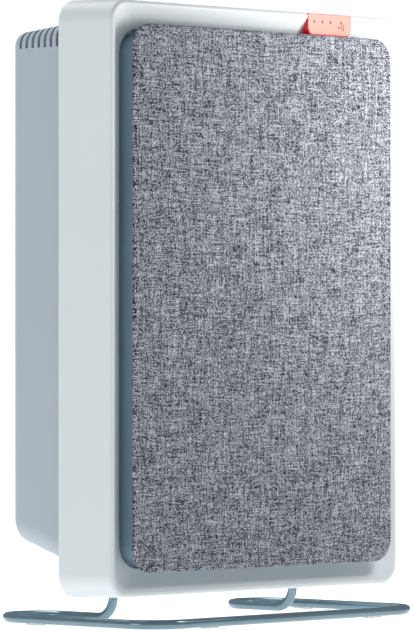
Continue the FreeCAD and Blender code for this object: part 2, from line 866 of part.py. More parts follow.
def motor_bearings():
    """Two plain bearings, one at each end of the tube."""
    inner = shaft_radius + shaft_clearance
    fronts = (stator_front - 2.5, motor_plate_front - bearing_length)
    return group(tube(0, fan_height, bearing_radius, inner, front, front + bearing_length)
                 for front in fronts)


def motor_plate():
    """Pressed steel plate with three ears."""
    front = motor_plate_front
    back = front + motor_plate_thickness
    disc = rod(0, fan_height, 30, front, back)
    ears = []
    for x, z in motor_post_places():
        arm = block(0, motor_ear_radius, front, back, fan_height - 7, fan_height + 7)
        angle = math.degrees(math.atan2(z - fan_height, x))
        arm.rotate(Vector(0, 0, fan_height), Vector(0, 1, 0), -angle)
        ears += [arm, rod(x, z, 7, front, back)]
    holes = [rod(x, z, 3, front - 1, back + 1) for x, z in motor_post_places()]
    holes.append(rod(0, fan_height, shaft_radius + 1, front - 1, back + 1))
    return joined([disc] + ears).cut(holes)


def motor_bushes():
    """Rubber bushes that keep the motor's hum out of the shell."""
    front = motor_plate_front
    back = front + motor_plate_thickness
    bushes = []
    for x, z in motor_post_places():
        rear = tube(x, z, bush_radius, screw_radius + 0.1, back, back + bush_foot)
        neck = tube(x, z, 2.95, screw_radius + 0.1, front - bush_lip, back)
        cap = tube(x, z, bush_radius, screw_radius + 0.1, front - bush_lip, front)
        bushes.append(joined([rear, neck, cap]))
    return group(bushes)


def motor_screws():
    """Screws through the bushes into the shell."""
    seat = motor_plate_front - bush_lip
    return group(screw(x, z, seat, 7.5, 1) for x, z in motor_post_places())


# ---- electronics ----


def main_board():
    """Circuit board at the foot of the shell."""
    board = block(-board_half, board_half, board_depth, board_depth + board_gauge, board_low, board_high)
    return board.cut([rod(x, z, 1.3, board_depth - 1, board_depth + 3) for x, z in board_post_places()])


def board_parts():
    """Capacitors, a coil, connectors and the wireless module on the board."""
    face = board_depth
    middle = (board_low + board_high) / 2
    parts = [rod(x, middle, 4, face - 11, face) for x in (-34, -24)]
    parts.append(block(-14, -2, face - 6, face, middle - 6, middle + 6))
    parts.append(block(4, 22, face - 2.4, face, middle - 7, middle + 7))
    parts += [block(x, x + 8, face - 6, face, board_high - 7, board_high - 1) for x in (-14, 6)]
    return group(parts)


def board_screws():
    """Four small screws that hold the board."""
    screws = []
    for x, z in board_post_places():
        shank = rod(x, z, 1.05, board_depth, board_depth + 7)
        head = rod(x, z, 2.1, board_depth - 1.5, board_depth)
        screws.append(shank.fuse(head).removeSplitter())
    return group(screws)


def power_inlet():
    """Low-voltage power socket, open at the back."""
    front = board_depth + board_gauge
    back = shell_back - 1.0
    body = rod(inlet_x, inlet_z, 5.4, front + 4, back)
    base = block(inlet_x - 5, inlet_x + 5, front, front + 8, inlet_z - 5, inlet_z + 5)
    socket = rod(inlet_x, inlet_z, 2.9, back - 9, back + 1)
    pin = rod(inlet_x, inlet_z, 0.9, back - 9.5, back - 0.5)
    return joined([body, base]).cut(socket).fuse(pin).removeSplitter()


# ---- control tab ----


def tab_section(front):
    """Side view of the control tab: a flap in front, a strip on top and a wedge in the dish."""
    top = frame_top
    low = top - tab_height
    low_back = dish_slope * (tab_height - dish_start) - tab_wedge_gap
    wedge_top = low + (low_back - tab_strip) / dish_slope
    points = [
        Vector(tab_left, front, top - tab_edge_radius),
        Vector(tab_left, front, low),
        Vector(tab_left, low_back, low),
        Vector(tab_left, tab_strip, wedge_top),
        Vector(tab_left, tab_strip, top - tab_strip),
        Vector(tab_left, tab_back, top - tab_strip),
        Vector(tab_left, tab_back, top),
        Vector(tab_left, front + tab_edge_radius, top),
    ]
    edges = [Part.LineSegment(start, end).toShape() for start, end in zip(points, points[1:])]
    bulge = tab_edge_radius * (1 - math.sqrt(0.5))
    middle = Vector(tab_left, front + bulge, top - bulge)
    edges.append(Part.Arc(points[-1], middle, points[0]).toShape())
    return Part.Face(Part.Wire(edges))


def tab_corner_form(low):
    """Front view of the tab above its lower edge, used to round its lower corners."""
    outline = Outline(tab_width / 2, low, frame_top + 20, tab_corner)
    form = slab(outline, -10, 60)
    form.translate(Vector(tab_middle, 0, 0))
    return form


def lamp_places():
    """Where the four indicator lamps sit in the tab."""
    return [(tab_left + lamp_first + step, lamp_height) for step in lamp_steps]


def tab_body():
    """Red key: flap over the dish, strip over the top edge, barrel for the pin and switch stem."""
    form = tab_section(-tab_proud + tab_face_thickness).extrude(Vector(tab_width, 0, 0))
    form = form.common(tab_corner_form(frame_top - tab_height))
    stem = upright(tab_middle, tab_stem_depth, tab_stem_radius, stem_low, frame_top - 1)
    barrel = crossbar(tab_pin_depth, tab_pin_height, tab_barrel_radius, tab_left, tab_right)
    body = joined([form, stem, barrel])
    cuts = [rod(x, z, lamp_radius + 0.05, -2, 6) for x, z in lamp_places()]
    cuts.append(crossbar(tab_pin_depth, tab_pin_height, tab_pin_radius + 0.04, tab_left - 1, tab_right + 1))
    return body.cut(cuts)


def tab_pin():
    """Steel pin that the key rocks on, held in the frame at both ends."""
    return crossbar(tab_pin_depth, tab_pin_height, tab_pin_radius, tab_left - 3, tab_right + 3)


def tab_face():
    """Pale face plate on the front of the key."""
    front = -tab_proud
    low = frame_top - tab_height + tab_face_lift
    top = frame_top - tab_edge_radius
    plate = block(tab_left, tab_right, front, front + tab_face_thickness, low, top)
    body = plate.common(tab_corner_form(low))
    return body.cut([rod(x, z, lamp_radius + 0.05, -2, 6) for x, z in lamp_places()])


def tab_lamps():
    """Four small light pipes in the key."""
    return group(rod(x, z, lamp_radius, -tab_proud - 0.05, 1.6) for x, z in lamp_places())


def tab_symbol():
    """Small raised signal mark: a dot with two arcs beside it."""
    x = tab_left + lamp_first + lamp_steps[-1] - 2.1
    z = frame_top - symbol_drop
    front = -tab_proud - symbol_height
    reach = max(symbol_arcs) + 1
    ends = [Vector(x + reach, front, z + side * reach * 0.6) for side in (-1, 1)]
    corners = [Vector(x, front, z)] + ends
    wedge = Part.Face(Part.makePolygon(corners + corners[:1])).extrude(Vector(0, symbol_height, 0))
    marks = [rod(x, z, 0.7, front, -tab_proud)]
    half_line = symbol_line / 2
    for radius in symbol_arcs:
        hoop = tube(x, z, radius + half_line, radius - half_line, front, -tab_proud)
        marks.append(hoop.common(wedge))
    return group(marks)


def light_guides():
    """Clear bars that carry light from the board to the lamps."""
    front = tab_strip + tab_travel_room
    return group(rod(x, z, lamp_radius, front, display_front) for x, z in lamp_places())


def lamp_block():
    """Light source block on the display board."""
    back = display_front + lamp_block_depth
    return block(tab_left + 3, tab_right - 7, display_front, back, display_top, lamp_height + 1.2)


def display_board():
    """Small circuit board inside the top of the frame."""
    return block(tab_left + 1, tab_right - 1, display_front, display_back, display_top - display_thickness,
                 display_top)


def key_switch():
    """Push switch below the key's stem."""
    base = block(tab_middle - 3, tab_middle + 3, tab_stem_depth - 1.9, tab_stem_depth + 3, display_top,
                 display_top + switch_height)
    return base


# ---- stand ----


def stand_path():
    """Centre line of the wire, from one leg's top to the other's."""
    turn = (stand_half_width - leg_spread) / 2
    turn_depth = stand_rear - turn
    z = wire_height
    half = math.sqrt(0.5)
    edges = []

    def line(a, b):
        edges.append(Part.LineSegment(Vector(*a), Vector(*b)).toShape())

    def arc(a, m, b):
        edges.append(Part.Arc(Vector(*a), Vector(*m), Vector(*b)).toShape())

    for side in (-1, 1):
        inner = side * leg_spread
        outer = side * stand_half_width
        bend = (inner, leg_depth + leg_bend * (1 - half), z + leg_bend * (1 - half))
        tip = (side * (leg_spread + turn), stand_rear, z)
        nose = (outer - side * stand_corner * (1 - half), stand_front + stand_corner * (1 - half), z)
        line((inner, leg_depth, leg_top), (inner, leg_depth, z + leg_bend))
        arc((inner, leg_depth, z + leg_bend), bend, (inner, leg_depth + leg_bend, z))
        line((inner, leg_depth + leg_bend, z), (inner, turn_depth, z))
        arc((inner, turn_depth, z), tip, (outer, turn_depth, z))
        line((outer, turn_depth, z), (outer, stand_front + stand_corner, z))
        arc((outer, stand_front + stand_corner, z), nose, (outer - side * stand_corner, stand_front, z))
    reach = stand_half_width - stand_corner
    line((-reach, stand_front, z), (reach, stand_front, z))
    return Part.Wire(Part.__sortEdges__(edges))


def stand_wire():
    """One painted steel wire bent into two legs, two side loops and a front bar."""
    start = Vector(-leg_spread, leg_depth, leg_top)
    section = Part.Wire(Part.makeCircle(wire_radius, start, Vector(0, 0, 1)))
    return stand_path().makePipeShell([section], True, False)


def foot_pad(x, depth, along_x):
    """A clear saddle under the wire with a flat sole."""
    half_length = pad_length / 2
    half_width = pad_width / 2
    half_x, half_y = (half_length, half_width) if along_x else (half_width, half_length)
    pad = block(x - half_x, x + half_x, depth - half_y, depth + half_y, 0, pad_thickness + pad_lip)
    direction = Vector(1, 0, 0) if along_x else Vector(0, 1, 0)
    start = Vector(x, depth, wire_height) - direction * pad_length
    return pad.cut(Part.makeCylinder(wire_radius, 2 * pad_length, start, direction))


def foot_pads():
    """Four clear pads under the wire."""
    front = [foot_pad(side * 70, stand_front, True) for side in (-1, 1)]
    rear = [foot_pad(side * stand_half_width, stand_rear - 34, False) for side in (-1, 1)]
    return group(front + rear)


def stand_screw_places():
    """Screws through the deck into the stand's blocks."""
    z = leg_top - block_height / 2
    return [(side * leg_spread + step, z) for side in (-1, 1) for step in (-6.5, 6.5)]


def stand_block(side):
    """Block behind the deck that grips one leg."""
    x = side * leg_spread
    front = flange_back + seat_gap
    half = block_width / 2
    low = leg_top - block_height
    grip = wire_radius + 0.05
    body = block(x - half, x + half, front, front + block_depth, low + 2, leg_top + 2)
    bore = upright(x, leg_depth, grip, low, leg_top + 0.1)
    mouth = block(x - grip, x + grip, front - 1, leg_depth, low, leg_top + 0.1)
    places = [(screw_x, z) for screw_x, z in stand_screw_places() if screw_x * side > 0]
    holes = [rod(screw_x, z, screw_radius + 0.05, front - 1, front + 10) for screw_x, z in places]
    return body.cut([bore, mouth] + holes)


def stand_screws():
    """Countersunk screws that hold the stand's blocks to the deck."""
    return group(flush_screw(x, z, flange_front, 11) for x, z in stand_screw_places())


nodes = {
    "front_frame": front_frame,
    "panel_fabric": panel_fabric,
    "panel_board": panel_board,
    "panel_tray": panel_tray,
    "panel_magnets": panel_magnets,
    "catch_plates": catch_plates,
    "prefilter_frame": prefilter_frame,
    "prefilter_mesh": prefilter_mesh,
    "filter_frame": filter_frame,
    "filter_media": filter_media,
    "filter_seal": filter_seal,
    "filter_ribbon": filter_ribbon,
    "rear_shell": rear_shell,
    "shell_screws": shell_screws,
    "fan_deck": fan_deck,
    "deck_screws": deck_screws,
    "inlet_guard": inlet_guard,
    "scroll_housing": scroll_housing,
    "impeller": impeller,
    "motor_rotor": motor_rotor,
    "rotor_magnet": rotor_magnet,
    "motor_shaft": motor_shaft,
    "motor_stator": motor_stator,
    "motor_windings": motor_windings,
    "bearing_tube": bearing_tube,
    "motor_bearings": motor_bearings,
    "motor_plate": motor_plate,
    "motor_bushes": motor_bushes,
    "motor_screws": motor_screws,
    "main_board": main_board,
    "board_parts": board_parts,
    "board_screws": board_screws,
    "power_inlet": power_inlet,
    "tab_body": tab_body,
    "tab_pin": tab_pin,
    "tab_face": tab_face,
    "tab_lamps": tab_lamps,
    "tab_symbol": tab_symbol,
    "light_guides": light_guides,
    "lamp_block": lamp_block,
    "display_board": display_board,
    "key_switch": key_switch,
    "stand_wire": stand_wire,
    "foot_pads": foot_pads,
    "stand_block_left": lambda: stand_block(-1),
    "stand_block_right": lambda: stand_block(1),
    "stand_screws": stand_screws,
}

os.makedirs("parts", exist_ok=True)
for name, build in nodes.items():
    shape = build()
    shape.translate(to_origin)
    shape.exportStep(os.path.join("parts", name + ".step"))
    print(name, "solids", len(shape.Solids), "valid", shape.isValid(), "volume", round(shape.Volume, 1))
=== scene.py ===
import json
import math

import bmesh
import bpy
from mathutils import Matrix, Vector, noise


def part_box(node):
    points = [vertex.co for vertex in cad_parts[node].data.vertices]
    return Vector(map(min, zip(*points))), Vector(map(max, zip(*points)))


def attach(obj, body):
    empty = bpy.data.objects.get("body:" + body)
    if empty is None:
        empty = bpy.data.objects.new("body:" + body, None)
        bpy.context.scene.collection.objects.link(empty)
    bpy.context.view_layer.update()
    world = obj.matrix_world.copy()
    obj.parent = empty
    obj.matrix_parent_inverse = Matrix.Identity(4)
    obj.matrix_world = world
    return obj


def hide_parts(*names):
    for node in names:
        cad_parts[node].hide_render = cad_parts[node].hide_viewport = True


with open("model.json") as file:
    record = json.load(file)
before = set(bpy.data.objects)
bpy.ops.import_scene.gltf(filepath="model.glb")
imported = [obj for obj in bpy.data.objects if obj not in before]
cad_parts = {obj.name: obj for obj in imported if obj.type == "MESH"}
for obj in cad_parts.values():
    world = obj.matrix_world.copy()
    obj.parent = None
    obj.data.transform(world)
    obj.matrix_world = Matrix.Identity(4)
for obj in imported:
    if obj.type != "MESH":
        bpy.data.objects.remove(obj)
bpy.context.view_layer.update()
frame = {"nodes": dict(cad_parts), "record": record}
nodes = frame["nodes"]

MM = 0.001
MICRON = 0.001 * MM

# ---- weave of the cover ----
WARP_PITCH = 0.72 * MM
WEFT_PITCH = 0.56 * MM
WARP_SLUB = 30.0          # length of a slub, counted in crossing yarns
WEFT_SLUB = 24.0
SLUB_STRENGTH = 0.2
FLECK_STRENGTH = 0.44
CLOTH_MIDDLE = 0.335      # share of the light colour in a plain spot
YARN_DRIFT = 0.4 * MM     # how far the yarns wander sideways
WEAVE_RELIEF = 0.22 * MM
FUZZ_RELIEF = 0.04 * MM

# ---- shape of the cover ----
COVER_ROLL = 1.4 * MM
COVER_TURN_IN = 8.6 * MM
COVER_CORNER = 13.5 * MM
COVER_STEP = 4 * MM       # spacing of points along the straight sides
ROLL_STEPS = 6
HEM_ONSET = 0.2 * MM      # depth over which the pleats begin
SWELL_SCALE = 90
SWELL_HEIGHT = 0.1 * MM
PLEATS_ROUND = 36
PLEAT_HEIGHT = 0.35 * MM

# ---- net, ribbon and seal ----
NET_PITCH = 1.6 * MM
NET_STRAND = 0.42 * MM
RIBBON_GAUGE = 0.35 * MM
RIBBON_CUP = 0.08 * MM
RIBBON_ROWS = 24
RIBBON_COLUMNS = 8
SEAL_WIDTH = 7.0 * MM
SEAL_CORNER = 13.0 * MM
SEAL_STEP = 6 * MM
SEAL_EDGE = 0.15 * MM
CROWN_STEPS = 8

# ---- mesh detail ----
CORNER_STEPS = 14
BOX_FACES = ((0, 1, 3, 2), (4, 6, 7, 5), (0, 4, 5, 1), (2, 3, 7, 6), (0, 2, 6, 4), (1, 5, 7, 3))

# ---- material tools ----


class Finish:
    """One procedural material, built up node by node round its main shader."""

    def __init__(self, name):
        self.material = bpy.data.materials.new(name)
        self.material.use_nodes = True
        self.tree = self.material.node_tree
        self.shader = self.tree.nodes["Principled BSDF"]
        self.place = self.add("TexCoord").outputs["Object"]

    def feed(self, socket, value):
        """Link an output to an input, or set the input's own value."""
        if isinstance(value, bpy.types.NodeSocket):
            self.tree.links.new(value, socket)
        else:
            socket.default_value = value

    def add(self, kind, inputs=None, **settings):
        """Add a node with its settings, then feed its inputs."""
        node = self.tree.nodes.new("ShaderNode" + kind)
        for name, value in settings.items():
            setattr(node, name, value)
        for name, value in (inputs or {}).items():
            self.feed(node.inputs[name], value)
        return node

    def math(self, operation, *values):
        """A sum on one to three values."""
        node = self.add("Math", operation=operation)
        for socket, value in zip(node.inputs, values):
            self.feed(socket, value)
        return node.outputs[0]

    def fit(self, value, low, high, new_low, new_high):
        """Move a value from one range to another, held inside it."""
        node = self.add("MapRange", {"Value": value, "From Min": low, "From Max": high,
                                     "To Min": new_low, "To Max": new_high})
        return node.outputs["Result"]

    def scaled(self, x, y, z):
        """The surface's own coordinates, stretched along each axis."""
        return self.add("Mapping", {"Vector": self.place, "Scale": (x, y, z)}).outputs["Vector"]

    def noise(self, scale, detail=3.0, place=None, roughness=0.5):
        """Soft random variation."""
        place = self.place if place is None else place
        inputs = {"Vector": place, "Scale": scale, "Detail": detail, "Roughness": roughness}
        return self.add("TexNoise", inputs).outputs["Fac"]

    def blend(self, share, first, second):
        """A colour between two colours."""
        node = self.add("Mix", data_type="RGBA")
        self.feed(node.inputs[0], share)
        self.feed(node.inputs[6], first)
        self.feed(node.inputs[7], second)
        return node.outputs[2]

    def choose(self, share, first, second):
        """A value between two values."""
        node = self.add("Mix", data_type="FLOAT")
        self.feed(node.inputs[0], share)
        self.feed(node.inputs[2], first)
        self.feed(node.inputs[3], second)
        return node.outputs[0]

    def mottled(self, value, colour, darker, lighter, low=0.3, high=0.7):
        """A colour made darker or lighter as a noise runs over its middle range."""
        share = self.fit(value, low, high, 0, 1)
        return self.blend(share, shaded(colour, darker), shaded(colour, lighter))

    def uneven(self, value, middle, below, above):
        """A roughness that wanders round its middle with a noise."""
        return self.fit(value, 0.3, 0.7, middle - below, middle + above)

    def bump(self, height, depth, strength=1.0, under=None):
        """Relief from a height that runs from 0 to 1, at a depth in metres."""
        inputs = {"Height": height, "Distance": depth, "Strength": strength}
        if under is not None:
            inputs["Normal"] = under
        return self.add("Bump", inputs).outputs["Normal"]

    def finish(self, **inputs):
        """Feed the main shader; names have underscores for spaces."""
        for name, value in inputs.items():
            self.feed(self.shader.inputs[name.replace("_", " ")], value)
        return self.material


def linear(red, green, blue):
    """A screen colour, 0 to 255, as the linear colour that shaders work in."""
    channels = []
    for level in (red, green, blue):
        share = level / 255
        channels.append(share / 12.92 if share <= 0.04045 else ((share + 0.055) / 1.055) ** 2.4)
    return (*channels, 1.0)


def shaded(colour, factor):
    """A colour made darker or lighter."""
    return (*[min(1.0, channel * factor) for channel in colour[:3]], 1.0)


# ---- materials ----


def moulded(name, colour, roughness=0.45, grain=6, mottle=0.05):
    """Moulded plastic: spark-eroded grain in microns, faint mottling and uneven gloss."""
    look = Finish(name)
    tint = look.mottled(look.noise(18, 4), colour, 1 - mottle, 1 + mottle)
    gloss = look.uneven(look.noise(60, 3), roughness, 0.05, 0.05)
    relief = look.bump(look.noise(1500, 2), grain * MICRON)
    return look.finish(Base_Color=tint, Roughness=gloss, Normal=relief)


def drifted(look, cloth):
    """The cloth's flat coordinates, shifted a little so that the yarns wander."""
    drift = look.add("TexNoise", {"Vector": cloth, "Scale": 160.0, "Detail": 2.0}).outputs["Color"]
    wobble = look.add("VectorMath", operation="MULTIPLY_ADD")
    for socket, value in zip(wobble.inputs, (drift, (YARN_DRIFT, YARN_DRIFT, 0.0), cloth)):
        look.feed(socket, value)
    return wobble.outputs[0]


def ridge(look, value):
    """Height across one yarn, from 0 at its edges to 1 along its middle."""
    share = look.math("SUBTRACT", look.math("FRACT", value), 0.5)
    return look.math("COSINE", look.math("MULTIPLY", share, math.pi))


def weave_height(look, across, along, warp_on_top):
    """Relief of the weave, from whichever yarn lies on top."""
    warp = look.math("MULTIPLY", ridge(look, across), look.math("POWER", ridge(look, along), 0.5))
    weft = look.math("MULTIPLY", ridge(look, along), look.math("POWER", ridge(look, across), 0.5))
    return look.choose(warp_on_top, weft, warp)


def yarn_tone(look, number, run, length, seed):
    """Light and dark stretches along one yarn, from about -1 to 1."""
    own_row = look.math("MULTIPLY", number, 7.31)
    spot = look.add("CombineXYZ", {"X": own_row, "Y": look.math("DIVIDE", run, length), "Z": seed})
    return look.fit(look.noise(1.0, 1.0, spot.outputs["Vector"], 0.6), 0.3, 0.7, -1.0, 1.0)


def heather(look, across, along, column, row, warp_on_top):
    """Share of the light colour: slubs along the yarns and a fleck at each crossing."""
    warp_tone = yarn_tone(look, column, along, WARP_SLUB, 1.0)
    weft_tone = yarn_tone(look, row, across, WEFT_SLUB, 9.0)
    top = look.choose(warp_on_top, look.math("MULTIPLY", weft_tone, SLUB_STRENGTH),
                      look.math("MULTIPLY", warp_tone, SLUB_STRENGTH))
    both = look.math("MULTIPLY", look.math("ADD", warp_tone, weft_tone), SLUB_STRENGTH / 2)
    crossing = look.add("CombineXYZ", {"X": column, "Y": row}).outputs["Vector"]
    fleck = look.add("TexWhiteNoise", {"Vector": crossing}, noise_dimensions="2D").outputs["Value"]
    spread = look.fit(fleck, 0.0, 1.0, -FLECK_STRENGTH, FLECK_STRENGTH)
    return look.math("ADD", look.math("ADD", top, both), look.math("ADD", spread, CLOTH_MIDDLE))


def woven(name, dark, light):
    """Plain weave of heathered yarns, with slubs, read from the cloth's own flat coordinates."""
    look = Finish(name)
    cloth = look.add("Attribute", attribute_name="cloth").outputs["Vector"]
    parts = look.add("SeparateXYZ", {"Vector": drifted(look, cloth)})
    across = look.math("DIVIDE", parts.outputs["X"], WARP_PITCH)
    along = look.math("DIVIDE", parts.outputs["Y"], WEFT_PITCH)
    column = look.math("FLOOR", across)
    row = look.math("FLOOR", along)
    warp_on_top = look.math("PINGPONG", look.math("ADD", column, row), 1.0)
    height = weave_height(look, across, along, warp_on_top)
    mixed = heather(look, across, along, column, row, warp_on_top)
    # Painted shade: the yarn edges and the hollows between yarns are darkened by their own low height.
    painted_gap_shade = look.fit(height, 0.1, 0.7, 0.45, 1.0)
    tone = look.math("MULTIPLY", look.math("MAXIMUM", mixed, 0.0), painted_gap_shade)
    colour = look.blend(look.math("MINIMUM", tone, 1.0), dark, light)
    relief = look.bump(height, WEAVE_RELIEF, 0.9)
    fuzz = look.bump(look.noise(4200, 2.0, cloth), FUZZ_RELIEF, 0.6, relief)
    return look.finish(Base_Color=colour, Roughness=0.92, Normal=fuzz, Sheen_Weight=0.1,
                       Sheen_Roughness=0.4, Specular_IOR_Level=0.15)


def painted(name, colour):
    """Smooth gloss paint on wire, with faint clouding and orange peel."""
    look = Finish(name)
    tint = look.mottled(look.noise(40, 4), colour, 0.94, 1.06, 0.35, 0.65)
    gloss = look.uneven(look.noise(150, 3), 0.16, 0.04, 0.06)
    relief = look.bump(look.noise(700, 1), 4 * MICRON)
    return look.finish(Base_Color=tint, Roughness=gloss, Normal=relief,
                       Metallic=0.35, Coat_Weight=0.5, Coat_Roughness=0.12)


def metal(name, colour, roughness=0.35, stretch=(1, 30, 30), marks=0.15):
    """Drawn or brushed metal with fine lines along one axis."""
    look = Finish(name)
    lines = look.noise(60, 3, look.scaled(*stretch))
    tint = look.mottled(look.noise(120, 3), colour, 1 - marks, 1 + marks)
    gloss = look.uneven(lines, roughness, 0.1, 0.1)
    relief = look.bump(lines, 5 * MICRON)
    return look.finish(Base_Color=tint, Metallic=1.0, Roughness=gloss, Normal=relief)


def coiled(name, colour):
    """Enamelled copper wire laid in turns."""
    look = Finish(name)
    inputs = {"Vector": look.place, "Scale": 700.0, "Distortion": 1.5, "Detail": 1.0}
    turns = look.add("TexWave", inputs, bands_direction="Y").outputs["Fac"]
    # Painted shade and highlight: each turn is darker in its grooves and lighter on its crown, following
    # the relief's bands.
    tint = look.blend(turns, shaded(colour, 0.55), shaded(colour, 1.15))
    relief = look.bump(turns, 120 * MICRON)
    return look.finish(Base_Color=tint, Metallic=0.85, Roughness=0.28, Normal=relief)


def rubbery(name, colour, roughness=0.75, clear=0.0):
    """Rubber or soft clear plastic."""
    look = Finish(name)
    tint = look.mottled(look.noise(90, 3), colour, 0.88, 1.1)
    relief = look.bump(look.noise(1800, 2), 6 * MICRON)
    return look.finish(Base_Color=tint, Roughness=roughness, Normal=relief, Transmission_Weight=clear)


def circuit(name, colour):
    """Solder mask over copper tracks."""
    look = Finish(name)
    black = (0, 0, 0, 1)
    tracks = look.add("TexBrick", {"Vector": look.place, "Scale": 260.0, "Mortar Size": 0.035,
                                   "Color1": black, "Color2": black, "Mortar": (1, 1, 1, 1)})
    islands = look.fit(look.noise(220, 2), 0.48, 0.52, 0, 1)
    shown = look.math("MULTIPLY", tracks.outputs["Color"], islands)
    tint = look.blend(shown, colour, shaded(colour, 2.0))
    relief = look.bump(shown, 30 * MICRON)
    return look.finish(Base_Color=tint, Roughness=0.32, Normal=relief, Coat_Weight=0.4)


def fibrous(name, colour, scale):
    """Card or filter paper with short fibres."""
    look = Finish(name)
    fibre = look.noise(scale, 4, look.scaled(1, 1, 0.25), 0.65)
    tint = look.mottled(fibre, colour, 0.9, 1.05)
    return look.finish(Base_Color=tint, Roughness=0.9, Normal=look.bump(fibre, 50 * MICRON),
                       Subsurface_Weight=0.05, Subsurface_Scale=0.002)


def foamed(name, colour):
    """Open-cell foam."""
    look = Finish(name)
    cells = look.add("TexVoronoi", {"Vector": look.place, "Scale": 1100.0}).outputs["Distance"]
    # Painted shade: each cell is darker towards its pit, where the relief dips.
    tint = look.mottled(cells, colour, 0.45, 1.15, 0.0, 0.6)
    return look.finish(Base_Color=tint, Roughness=0.95, Normal=look.bump(cells, 250 * MICRON))


def ribbed(name, colour):
    """Narrow woven ribbon with fine cross ribs."""
    look = Finish(name)
    inputs = {"Vector": look.place, "Scale": 420.0, "Distortion": 0.4}
    ribs = look.add("TexWave", inputs, bands_direction="Z").outputs["Fac"]
    threads = look.noise(1700, 2, look.scaled(1, 1, 0.3))
    # Painted shade and highlight: the ribs are darker in their grooves and lighter on their crests,
    # broken up by real thread tone.
    tint = look.blend(look.math("MULTIPLY", ribs, threads), shaded(colour, 0.6), shaded(colour, 1.25))
    relief = look.bump(ribs, 80 * MICRON)
    return look.finish(Base_Color=tint, Roughness=0.6, Normal=relief, Sheen_Weight=0.3)


def frosted(name, colour, glow=0.0, depth=1.5 * MM, roughness=0.35):
    """Translucent plastic that scatters light under its surface."""
    look = Finish(name)
    tint = look.mottled(look.noise(160, 3), colour, 0.97, 1.03)
    relief = look.bump(look.noise(1600, 2), 4 * MICRON)
    return look.finish(Base_Color=tint, Roughness=roughness, Normal=relief, Subsurface_Weight=0.35,
                       Subsurface_Scale=depth, Subsurface_Radius=(1.0, 0.35, 0.25), Emission_Color=colour,
                       Emission_Strength=glow, Coat_Weight=0.2, Coat_Roughness=0.15)


finishes = {
    "frame_white": moulded("frame_white", linear(222, 228, 231), 0.42, 5, 0.012),
    "fabric_grey": woven("fabric_grey", linear(30, 34, 50), linear(240, 244, 255)),
    "board_grey": moulded("board_grey", linear(120, 124, 128), 0.6, 10),
    "tray_teal": moulded("tray_teal", linear(140, 170, 184), 0.5, 7),
    "magnet_nickel": metal("magnet_nickel", linear(205, 205, 208), 0.2, (1, 1, 1), 0.05),
    "steel_zinc": metal("steel_zinc", linear(190, 192, 196), 0.35, (30, 1, 30), 0.1),
    "rim_dark": moulded("rim_dark", linear(58, 62, 66), 0.5, 8),
    "net_dark": moulded("net_dark", linear(44, 47, 50), 0.7, 3),
    "card_white": fibrous("card_white", linear(228, 226, 218), 700),
    "media_white": fibrous("media_white", linear(238, 238, 234), 1300),
    "foam_grey": foamed("foam_grey", linear(96, 98, 101)),
    "ribbon_red": ribbed("ribbon_red", linear(196, 44, 50)),
    "shell_grey": moulded("shell_grey", linear(176, 186, 195), 0.5, 8, 0.02),
    "deck_grey": moulded("deck_grey", linear(92, 98, 103), 0.55, 9),
    "fan_light": moulded("fan_light", linear(196, 200, 202), 0.4, 5),
    "rotor_steel": metal("rotor_steel", linear(170, 172, 176), 0.3, (40, 1, 40), 0.12),
    "magnet_dark": moulded("magnet_dark", linear(44, 44, 47), 0.55, 12, 0.15),
    "copper_wire": coiled("copper_wire", linear(198, 112, 62)),
    "brass_turned": metal("brass_turned", linear(206, 176, 106), 0.25, (1, 60, 1), 0.08),
    "bush_black": rubbery("bush_black", linear(34, 34, 35)),
    "board_green": circuit("board_green", linear(30, 94, 66)),
    "part_black": moulded("part_black", linear(36, 36, 39), 0.35, 6, 0.1),
    # Painted light: the red key body glows faintly, though it is no lamp, so that its flanks read as lit.
    "key_red": frosted("key_red", linear(244, 30, 52), 0.12, 1.0 * MM, 0.25),
    # Painted highlight: the key's face is a paler pink standing for the lit front of the red key.
    "key_pink": frosted("key_pink", linear(236, 152, 138)),
    "lamp_red": frosted("lamp_red", linear(140, 34, 36), 0.0, 0.5 * MM),
    "guide_clear": rubbery("guide_clear", linear(238, 240, 242), 0.05, 0.95),
    "wire_blue": painted("wire_blue", linear(112, 141, 153)),
    "pad_clear": rubbery("pad_clear", linear(214, 218, 220), 0.4, 0.5),
    "block_black": moulded("block_black", linear(38, 40, 43), 0.5, 9, 0.06),
}

node_slots = {part["node"]: part["material_slot"] for part in frame["record"]["subparts"]}


def dress(piece, slot):
    """Give a piece the finish of one of the record's material slots."""
    piece.data.materials.clear()
    piece.data.materials.append(finishes[slot])


for node_name, node_object in nodes.items():
    dress(node_object, node_slots[node_name])

# ---- mesh tools ----


def corner_point(x, z, radius, degrees):
    """A point on a corner's arc, with its outward direction."""
    angle = math.radians(degrees)
    outward = (math.cos(angle), math.sin(angle))
    return (x + radius * outward[0], z + radius * outward[1], *outward)


def between(first, last, step):
    """Points along a straight run, its two ends left out."""
    count = max(2, round(math.dist(first[:2], last[:2]) / step))
    points = []
    for number in range(1, count):
        share = number / count
        x = first[0] + (last[0] - first[0]) * share
        z = first[1] + (last[1] - first[1]) * share
        points.append((x, z, *last[2:]))
    return points


def rounded_outline(half, low, high, corner, step):
    """Points round an upright rounded rectangle, each with its outward direction."""
    centres = [(half - corner, low + corner, -90), (half - corner, high - corner, 0),
               (corner - half, high - corner, 90), (corner - half, low + corner, 180)]
    points = []
    for index, (x, z, start) in enumerate(centres):
        for turn in range(CORNER_STEPS + 1):
            points.append(corner_point(x, z, corner, start + 90 * turn / CORNER_STEPS))
        next_x, next_z, next_start = centres[(index + 1) % len(centres)]
        points += between(points[-1], corner_point(next_x, next_z, corner, next_start), step)
    return points


def bridge(build, rings):
    """Faces between each closed ring of points and the next."""
    for near, far in zip(rings, rings[1:]):
        for index in range(len(near)):
            following = (index + 1) % len(near)
            build.faces.new((near[index], near[following], far[following], far[index]))


